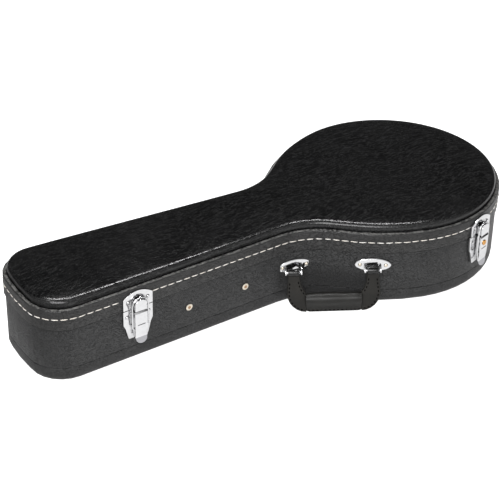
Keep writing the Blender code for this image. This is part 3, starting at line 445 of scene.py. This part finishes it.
# Darker copy of the chrome for the finger tabs: painted shade.
TAB_CHROME_SHADE_PAINT = plated("chrome_tab_shade_paint", (0.46, 0.46, 0.48), 0.20)
DULL_CHROME = plated("chrome_dull", (0.30, 0.30, 0.31), 0.30)
BRASS = plated("brass", (0.80, 0.42, 0.13), 0.18)
CREAM = plated("rivet_cream", (0.84, 0.76, 0.64), 0.25)
RIVET_BORE = plated("rivet_bore", (0.46, 0.29, 0.17), 0.35)
LEATHER = leather("leather", (0.010, 0.0094, 0.0080), (0.018, 0.0165, 0.0140), 0.48, 0.28)
GRIP_LEATHER = leather("leather_grip", (0.007, 0.0066, 0.0057), (0.013, 0.0122, 0.0105), 0.36,
                       0.36)
SHINY_LEATHER = leather("leather_folded", (0.003, 0.003, 0.003), (0.006, 0.006, 0.006), 0.16)
PLUSH = plush("plush", (0.022, 0.022, 0.026), (0.045, 0.045, 0.052))
LINING = plush("lining", (0.018, 0.018, 0.021), (0.036, 0.036, 0.041))
WHITE_THREAD = thread("thread_white", (0.86, 0.80, 0.72), (0.95, 0.93, 0.90))
DARK_THREAD = thread("thread_dark", (0.0012, 0.0012, 0.0012), (0.003, 0.0028, 0.0026), 0.02)


# Shell

def nearest_along(point, loop, lengths):
    """Distance from a point to the loop, in plan, and the arc length where it is nearest."""
    best = (1e9, 0.0)
    for i, a in enumerate(loop):
        b = loop[(i + 1) % len(loop)]
        side = b - a
        t = max(0.0, min(1.0, (point - a).dot(side) / side.length_squared))
        away = (a + side * t - point).length
        if away < best[0]:
            best = (away, lengths[i] + t * side.length)
    return best


def unwrap_edge(mesh, loop):
    """UV map "edge": metres round the case, and metres in from the lid's outline."""
    flat = [Vector((p.x, p.y, 0)) for p in loop]
    lengths = [0.0]
    for a, b in zip(flat, flat[1:] + flat[:1]):
        lengths.append(lengths[-1] + (b - a).length)
    total = lengths[-1]
    near = [nearest_along(Vector((v.co.x, v.co.y, 0)), flat, lengths) for v in mesh.vertices]
    layer = mesh.uv_layers.new(name="edge")
    for face in mesh.polygons:
        around = [near[mesh.loops[i].vertex_index][1] for i in face.loop_indices]
        crosses = max(around) - min(around) > total / 2
        for i, s in zip(face.loop_indices, around):
            away = near[mesh.loops[i].vertex_index][0]
            layer.data[i].uv = (s + total if crosses and s < total / 2 else s, away)


def cover_top(outline):
    """The padded lid top under its vinyl, rolled over at the edge."""
    bm = merged("lid_top_panel")
    bmesh.ops.triangulate(bm, faces=[f for f in bm.faces if len(f.verts) > 4])
    bm.normal_update()
    crease = bm.edges.layers.float.new("crease_edge")
    for face in bm.faces:
        if face.normal.z < UNDERSIDE:
            for edge in face.edges:
                edge[crease] = 1.0
    obj = new_piece("cover_top", bm, "lid", "black_vinyl", TOP_VINYL, 60)
    unwrap_edge(obj.data, outline)
    rounder = obj.modifiers.new("roundness", 'SUBSURF')
    rounder.levels = rounder.render_levels = 2
    return standing_for(obj, "lid_top_panel")


def stitch_lid(outline):
    """Thread round the lid band, left out behind the strikes and the hinge leaves."""
    random.seed(7)
    hidden = [(joint_frame("neck_lever_pivot").translation, STRIKE_CLEAR),
              (joint_frame("bout_lever_pivot").translation, STRIKE_CLEAR)]
    for node in ("bout_hinge_lid_leaf", "head_hinge_lid_leaf"):
        low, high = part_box(node)
        hidden.append(((low + high) / 2, LEAF_CLEAR))
    bm = bmesh.new()
    for point, direction, out in walk(outline, STITCH_PITCH / 3, STITCH_PITCH):
        if any((Vector((place.x, place.y, point.z)) - point).length < clear
               for place, clear in hidden):
            continue
        turn = Matrix.Rotation(math.radians(random.uniform(-2.5, 2.5)), 3, out)
        run = turn @ direction
        axes = Matrix((run, out, run.cross(out))).transposed().to_4x4()
        length = STITCH_LENGTH * random.uniform(0.96, 1.03)
        strand(bm, Matrix.Translation(point + out * STITCH_PROUD) @ axes, length,
               THREAD * 0.9, THREAD, STITCH_DIP)
    return new_piece("lid_stitching", bm, "lid", "cream", WHITE_THREAD, 80)


def wall_rivets():
    """Tubular rivets with flared heads, and the dark rolled bore inside each."""
    bores = bmesh.new()
    for node in NODES:
        if not node.startswith("partition_rivet"):
            continue
        low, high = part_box(node)
        middle = (low + high) / 2
        rivet = finished_copy(node, CREAM, 0.0, smooth=60)
        rivet.data.transform(Matrix.Translation(middle)
                             @ Matrix.Diagonal((RIVET_FLARE, 1, RIVET_FLARE, 1))
                             @ Matrix.Translation(-middle))
        sunk = high.y - BORE_SUNK if middle.y > 0 else low.y + BORE_SUNK
        bead(bores, Matrix.Translation((middle.x, sunk, middle.z)), BORE_SIZE)
    return new_piece("partition_rivet_bores", bores, "case_body", "brass", RIVET_BORE, 80)


def make_shell():
    outline = plan_loop("lid_band", STITCH_Z)
    cover_top(outline)
    finished_copy("lid_band", BAND_VINYL, 0.0006, 3)
    finished_copy("body_wall", SIDE_VINYL, 0.0005, 2)
    finished_copy("bottom_panel", SIDE_VINYL, 0.0005, 2)
    stitch_lid(outline)
    wall_rivets()


# Metalwork

def strike_nose(label):
    """The round-topped block inside the bail's arch, as deep as the lever."""
    bm = bmesh.new()
    height, radius = NOSE_CROWN
    start = math.acos(NOSE_HALF / radius)
    turns = [start + (math.pi - 2 * start) * i / NOSE_STEPS for i in range(NOSE_STEPS + 1)]
    outline = [(-NOSE_HALF, NOSE_UNDER[0]), (NOSE_HALF, NOSE_UNDER[0])]
    outline += [(radius * math.cos(a), height + radius * math.sin(a)) for a in turns]
    back = [bm.verts.new((x, NOSE_OUT[0], z)) for x, z in outline]
    lowest = back[0].co.z
    made = bmesh.ops.extrude_face_region(bm, geom=[bm.faces.new(back)])
    for vert in made["geom"]:
        if isinstance(vert, bmesh.types.BMVert):
            vert.co.y = NOSE_OUT[1]
            if vert.co.z == lowest:
                vert.co.z = NOSE_UNDER[1]
    place = joint_frame(f"{label}_lever_pivot")
    place = place @ Matrix.Translation((0, -LEVER_OUT, -place.translation.z))
    bmesh.ops.transform(bm, matrix=place, verts=bm.verts)
    soften(bm, 0.0006, 3, 40)
    return new_piece(f"{label}_strike_nose", bm, "lid", "chrome", CHROME)


def tab_with_painted_shade(lever):
    """The finger tab gets a darker, rougher chrome than the lever's face: painted shade for the darker
    surroundings it mirrors.
    """
    lever.data.materials.append(TAB_CHROME_SHADE_PAINT)
    for face in lever.data.polygons:
        if face.center.z < TAB_TOP:
            face.material_index = 1


def make_latches():
    for label in ("neck", "bout"):
        for part, look in (("latch_strike", SHADED_CHROME), ("latch_base", SHADED_CHROME),
                           ("latch_lever", CHROME)):
            finished_copy(f"{label}_{part}", look, 0.00025, 2)
        for part in ("strike_rivet_left", "strike_rivet_right", "base_rivet_left",
                     "base_rivet_right", "lever_pin"):
            finished_copy(f"{label}_{part}", CHROME, 0.0, smooth=60)
        finished_copy(f"{label}_latch_bail", CHROME, 0.0, smooth=80)
        tab_with_painted_shade(bpy.data.objects[f"finished_{label}_latch_lever"])
        strike_nose(label)
    finished_copy("lock_cylinder", BRASS, 0.0002, 2)


def make_hinges():
    for label in ("bout", "head"):
        for part in ("body_leaf", "lid_leaf"):
            finished_copy(f"{label}_hinge_{part}", CHROME, 0.0002, 2)
        finished_copy(f"{label}_hinge_pin", CHROME, 0.0002, 2)


# Handle

def handle_frame():
    """The hanging handle's own frame: Y out from its face, Z up along its straps."""
    return joint_frame("handle_swing") @ Matrix.Rotation(HANDLE_TILT, 4, 'X')


def edge_line(node, hanging, margin):
    """Outline of a strap's front face, moved in by a margin, in the handle's frame."""
    bm = merged(node)
    bmesh.ops.transform(bm, matrix=hanging.inverted(), verts=bm.verts)
    bm.normal_update()
    face = max((f for f in bm.faces if f.normal.y > 0.99), key=lambda f: f.calc_area())
    bmesh.ops.inset_individual(bm, faces=[face], thickness=margin, use_even_offset=True)
    points = [v.co.copy() for v in face.verts]
    bm.free()
    return points


def seam_stitches():
    """Dark thread near both edges of each strap and along the grip's lower edge."""
    hanging = handle_frame()
    bm = bmesh.new()

    def stitch(point, direction):
        axes = Matrix((direction, Vector((0, 1, 0)), direction.cross(Vector((0, 1, 0)))))
        place = hanging @ Matrix.Translation(point) @ axes.transposed().to_4x4()
        strand(bm, place, SEAM_LENGTH, SEAM_WIDTH * 0.8, SEAM_WIDTH)

    for side_name in ("left", "right"):
        points = edge_line(f"handle_strap_{side_name}", hanging, STRAP_MARGIN)
        total = sum((b - a).length for a, b in zip(points, points[1:] + points[:1]))
        step = total / round(total / SEAM_PITCH)
        ahead = step / 2
        for a, b in zip(points, points[1:] + points[:1]):
            length, direction = (b - a).length, (b - a).normalized()
            while ahead <= length:
                point = a.lerp(b, ahead / length)
                on_grip = abs(direction.z) > 0.9 and abs(point.x) < GRIP_HALF + STRAP_LAP
                if point.z < STRAP_SEAM_TOP and not on_grip:
                    stitch(point, direction)
                ahead += step
            ahead -= length
    count = int(2 * GRIP_HALF / SEAM_PITCH)
    for i in range(count):
        x = (i + 0.5 - count / 2) * SEAM_PITCH
        stitch(Vector((x, GRIP_SEAM_OUT, GRIP_SEAM_UP - HANDLE_DROP)), Vector((1, 0, 0)))
    return new_piece("handle_stitching", bm, "handle", "leather", DARK_THREAD, 80)


def strap(side_name):
    """A strap of leather layers, with its cut edges rubbed round."""
    node = f"handle_strap_{side_name}"
    bm = merged(node)
    soften(bm, 0.0005)
    obj = new_piece(f"strap_{side_name}", bm, "handle", "leather", LEATHER, 50)
    return standing_for(obj, node)


def strap_fold(side_name, side, reach):
    """The glossy outside of the fold, where the strap bends over its bar."""
    bm = bmesh.new()
    inner = FOLD_RADIUS - FOLD_SHEET
    corners = [bm.verts.new((x, 0, z)) for x, z in
               ((-FOLD_HALF, inner), (FOLD_HALF, inner), (FOLD_HALF, FOLD_RADIUS),
                (-FOLD_HALF, FOLD_RADIUS))]
    face = bm.faces.new(corners)
    turn = Matrix.Rotation(FOLD_START, 3, 'X')
    bmesh.ops.rotate(bm, verts=corners, cent=(0, 0, 0), matrix=turn)
    bmesh.ops.spin(bm, geom=[face], cent=(0, 0, 0), axis=(1, 0, 0), angle=-FOLD_SWEEP,
                   steps=FOLD_STEPS)
    place = handle_frame() @ Matrix.Translation((side * reach, 0, 0))
    bmesh.ops.transform(bm, matrix=place, verts=bm.verts)
    soften(bm, 0.0003, 2, 60)
    return new_piece(f"strap_fold_{side_name}", bm, "handle", "leather", SHINY_LEATHER, 50)


def grip():
    """Padded roll over a sewn lower edge, with soft bulges along its length."""
    hanging = handle_frame()
    bm = merged("handle_grip")
    bmesh.ops.triangulate(bm, faces=[f for f in bm.faces if len(f.verts) > 4])
    bmesh.ops.transform(bm, matrix=hanging.inverted(), verts=bm.verts)
    long_edges = [e for e in bm.edges
                  if abs((e.verts[0].co - e.verts[1].co).x) > 0.9 * e.calc_length()]
    bmesh.ops.subdivide_edges(bm, edges=long_edges, cuts=6, use_grid_fill=True)
    for vert in bm.verts:
        x, z = vert.co.x, vert.co.z
        if z > GRIP_FLAT - HANDLE_DROP:
            wave = math.sin(x * GRIP_WAVES[0] + GRIP_PHASE) * math.cos(x * GRIP_WAVES[1])
            swell = 1 + GRIP_BULGE * wave
            vert.co.y *= swell
            vert.co.z = GRIP_ROLL_Z + (z - GRIP_ROLL_Z) * swell
        vert.co.x *= GRIP_STRETCH
    bmesh.ops.transform(bm, matrix=hanging, verts=bm.verts)
    obj = new_piece("grip_cover", bm, "handle", "leather", GRIP_LEATHER, 180)
    rounder = obj.modifiers.new("roundness", 'SUBSURF')
    rounder.levels = rounder.render_levels = 2
    return standing_for(obj, "handle_grip")


def make_handle():
    for side_name, side in (("left", 1), ("right", -1)):
        low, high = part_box(f"handle_bar_{side_name}")
        bar = handle_frame().inverted() @ ((low + high) / 2)
        finished_copy(f"handle_mount_{side_name}", CHROME, 0.0003, 2)
        finished_copy(f"handle_bar_{side_name}", CHROME, 0.0002, 2)
        for end in ("a", "b"):
            finished_copy(f"handle_mount_{side_name}_rivet_{end}", CREAM, 0.0, smooth=60)
        strap(side_name)
        strap_fold(side_name, side, abs(bar.x))
    grip()
    seam_stitches()
    finished_copy("handle_core", DULL_CHROME, 0.0002)


# Lining

def padded_copy(node, voxel, rounds):
    """Foam under plush: a CAD pad with its edges pulled round."""
    bm = merged(node)
    obj = new_piece(f"pad_{node}", bm, BODY_OF[node], SLOT_OF[node], PLUSH, 180)
    even = obj.modifiers.new("even mesh", 'REMESH')
    even.mode = 'VOXEL'
    even.voxel_size = voxel
    even.use_smooth_shade = True
    settle = obj.modifiers.new("settled foam", 'SMOOTH')
    settle.factor = 0.5
    settle.iterations = rounds
    return standing_for(obj, node)


def pull_ribbon():
    """Flat ribbon on the flap, as a thin strip of cloth."""
    low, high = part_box("pull_ribbon")
    bm = bmesh.new()
    bmesh.ops.create_grid(bm, x_segments=12, y_segments=6, size=0.5)
    size = high - low
    place = Matrix.Translation(((low.x + high.x) / 2, (low.y + high.y) / 2,
                                low.z + RIBBON_LIFT))
    bmesh.ops.transform(bm, matrix=place @ Matrix.Diagonal((size.x, size.y, 1, 1)),
                        verts=bm.verts)
    obj = new_piece("ribbon", bm, "flap", "plush", LINING, 80)
    thick = obj.modifiers.new("weave thickness", 'SOLIDIFY')
    thick.thickness = RIBBON_THICK
    thick.offset = 0
    return standing_for(obj, "pull_ribbon")


def make_lining():
    for node in ("lining_board", "front_partition", "rear_partition", "compartment_flap"):
        finished_copy(node, LINING, 0.0006, 3)
    finished_copy("compartment_hinge_rod", CHROME, 0.0)
    padded_copy("floor_pad", 0.003, 4)
    padded_copy("body_bed", 0.0035, 6)
    padded_copy("neck_rest", 0.002, 6)
    padded_copy("lid_pad", 0.0035, 6)
    pull_ribbon()


# Stage

CAMERA_TARGET = Vector((-0.22787, 0.01855, 0.05))
CAMERA_AZIMUTH = math.radians(-32.015)
CAMERA_ELEVATION = math.radians(32.606)
CAMERA_DISTANCE = 2.21826
CAMERA_ROLL = math.radians(1.06)
FOCAL_PIXELS = 1620.83
PHOTO_WIDTH = 500
SENSOR = 36.0
CENTRE_SHIFT = (-7.726, -1.096)   # pixels from the photo's centre to the optical axis


def make_camera():
    data = bpy.data.cameras.new("camera")
    data.sensor_width = SENSOR
    data.lens = FOCAL_PIXELS / PHOTO_WIDTH * SENSOR
    data.shift_x = -CENTRE_SHIFT[0] / PHOTO_WIDTH
    data.shift_y = CENTRE_SHIFT[1] / PHOTO_WIDTH
    camera = bpy.data.objects.new("camera", data)
    bpy.context.scene.collection.objects.link(camera)
    back = Vector((math.sin(CAMERA_AZIMUTH) * math.cos(CAMERA_ELEVATION),
                   -math.cos(CAMERA_AZIMUTH) * math.cos(CAMERA_ELEVATION),
                   math.sin(CAMERA_ELEVATION)))
    aim = back.to_track_quat('Z', 'Y').to_matrix().to_4x4()
    camera.matrix_world = (Matrix.Translation(CAMERA_TARGET + back * CAMERA_DISTANCE) @ aim
                           @ Matrix.Rotation(CAMERA_ROLL, 4, 'Z'))
    bpy.context.scene.camera = camera


FLOOR_Z = -0.0006
FLOOR_TONE = 0.90
FLOOR_GLOW = 0.90
MIRRORED_TONE = 0.60             # the floor's tone in reflections
MIRRORED_GLOW = 0.40             # and the share of its glow there
DIM_FROM = (-0.66, -0.50)        # left of this the floor is mirrored dimmer still
DIM_SHARE = 0.25


def grey(tone):
    return (tone, tone, tone)


def make_floor():
    """A pale floor that glows to the camera, and less in what mirrors it."""
    bm = bmesh.new()
    bmesh.ops.create_grid(bm, x_segments=2, y_segments=2, size=8)
    mesh = bpy.data.meshes.new("floor")
    bm.to_mesh(mesh)
    bm.free()
    floor = bpy.data.objects.new("floor", mesh)
    floor.location.z = FLOOR_Z
    bpy.context.scene.collection.objects.link(floor)
    look = Finish("floor", grey(FLOOR_TONE), 0.7, Specular_IOR_Level=0.0)
    path = look.add("ShaderNodeLightPath").outputs
    mirrored = look.maths('MAXIMUM', path["Is Glossy Ray"], path["Is Transmission Ray"])
    where = look.add("ShaderNodeSeparateXYZ", {"Vector": look.place}).outputs["X"]
    share = look.fit(where, *DIM_FROM, DIM_SHARE, 1.0)
    glow = look.maths('MULTIPLY', share, MIRRORED_GLOW)
    dimmed = look.blend(share, grey(MIRRORED_TONE * DIM_SHARE), grey(MIRRORED_TONE))
    look.use("Base Color", look.blend(mirrored, grey(FLOOR_TONE), dimmed))
    seen = look.maths('MAXIMUM', path["Is Camera Ray"], look.maths('MULTIPLY', mirrored, glow))
    look.set(look.shader.inputs["Emission Color"], (1, 1, 1, 1))
    look.use("Emission Strength", look.maths('MULTIPLY', seen, FLOOR_GLOW))
    mesh.materials.append(look.mat)


def area_light(name, azimuth, elevation, distance, size, power):
    """A soft rectangular lamp that faces the camera's target."""
    a, e = math.radians(azimuth), math.radians(elevation)
    back = Vector((math.sin(a) * math.cos(e), -math.cos(a) * math.cos(e), math.sin(e)))
    data = bpy.data.lights.new(name, 'AREA')
    data.shape = 'RECTANGLE'
    data.size, data.size_y = size
    data.energy = power
    light = bpy.data.objects.new(name, data)
    aim = back.to_track_quat('Z', 'Y').to_matrix().to_4x4()
    light.matrix_world = Matrix.Translation(CAMERA_TARGET + back * distance) @ aim
    bpy.context.scene.collection.objects.link(light)


def make_lights():
    area_light("front softbox", -38, 34, 2.6, (1.7, 1.1), 40)
    area_light("overhead strip", 150, 78, 1.9, (1.5, 0.10), 20)
    area_light("left strip", -75, 60, 2.2, (0.9, 0.20), 5)


WORLD_TURN = (-0.2, 0.5)         # cosine of the angle from the photograph's side
WORLD_GLOW = (0.04, 0.65)        # behind the case, and on the photograph's side


def make_world():
    """A pale room on the photograph's side of the case, which fades behind it."""
    world = bpy.data.worlds.new("studio")
    bpy.context.scene.world = world
    world.use_nodes = True
    tree = world.node_tree
    where = tree.nodes.new("ShaderNodeTexCoord")
    ahead = tree.nodes.new("ShaderNodeVectorMath")
    ahead.operation = 'DOT_PRODUCT'
    tree.links.new(where.outputs["Generated"], ahead.inputs[0])
    ahead.inputs[1].default_value = (math.sin(CAMERA_AZIMUTH), -math.cos(CAMERA_AZIMUTH), 0)
    fade = tree.nodes.new("ShaderNodeMapRange")
    tree.links.new(ahead.outputs["Value"], fade.inputs["Value"])
    fade.inputs["From Min"].default_value, fade.inputs["From Max"].default_value = WORLD_TURN
    fade.inputs["To Min"].default_value, fade.inputs["To Max"].default_value = WORLD_GLOW
    room = tree.nodes["Background"]
    room.inputs["Color"].default_value = (1, 1, 1, 1)
    tree.links.new(fade.outputs[0], room.inputs["Strength"])
    bpy.context.scene.view_settings.view_transform = 'Standard'


make_camera()
make_shell()
make_latches()
make_hinges()
make_handle()
make_lining()
make_floor()
make_lights()
make_world()
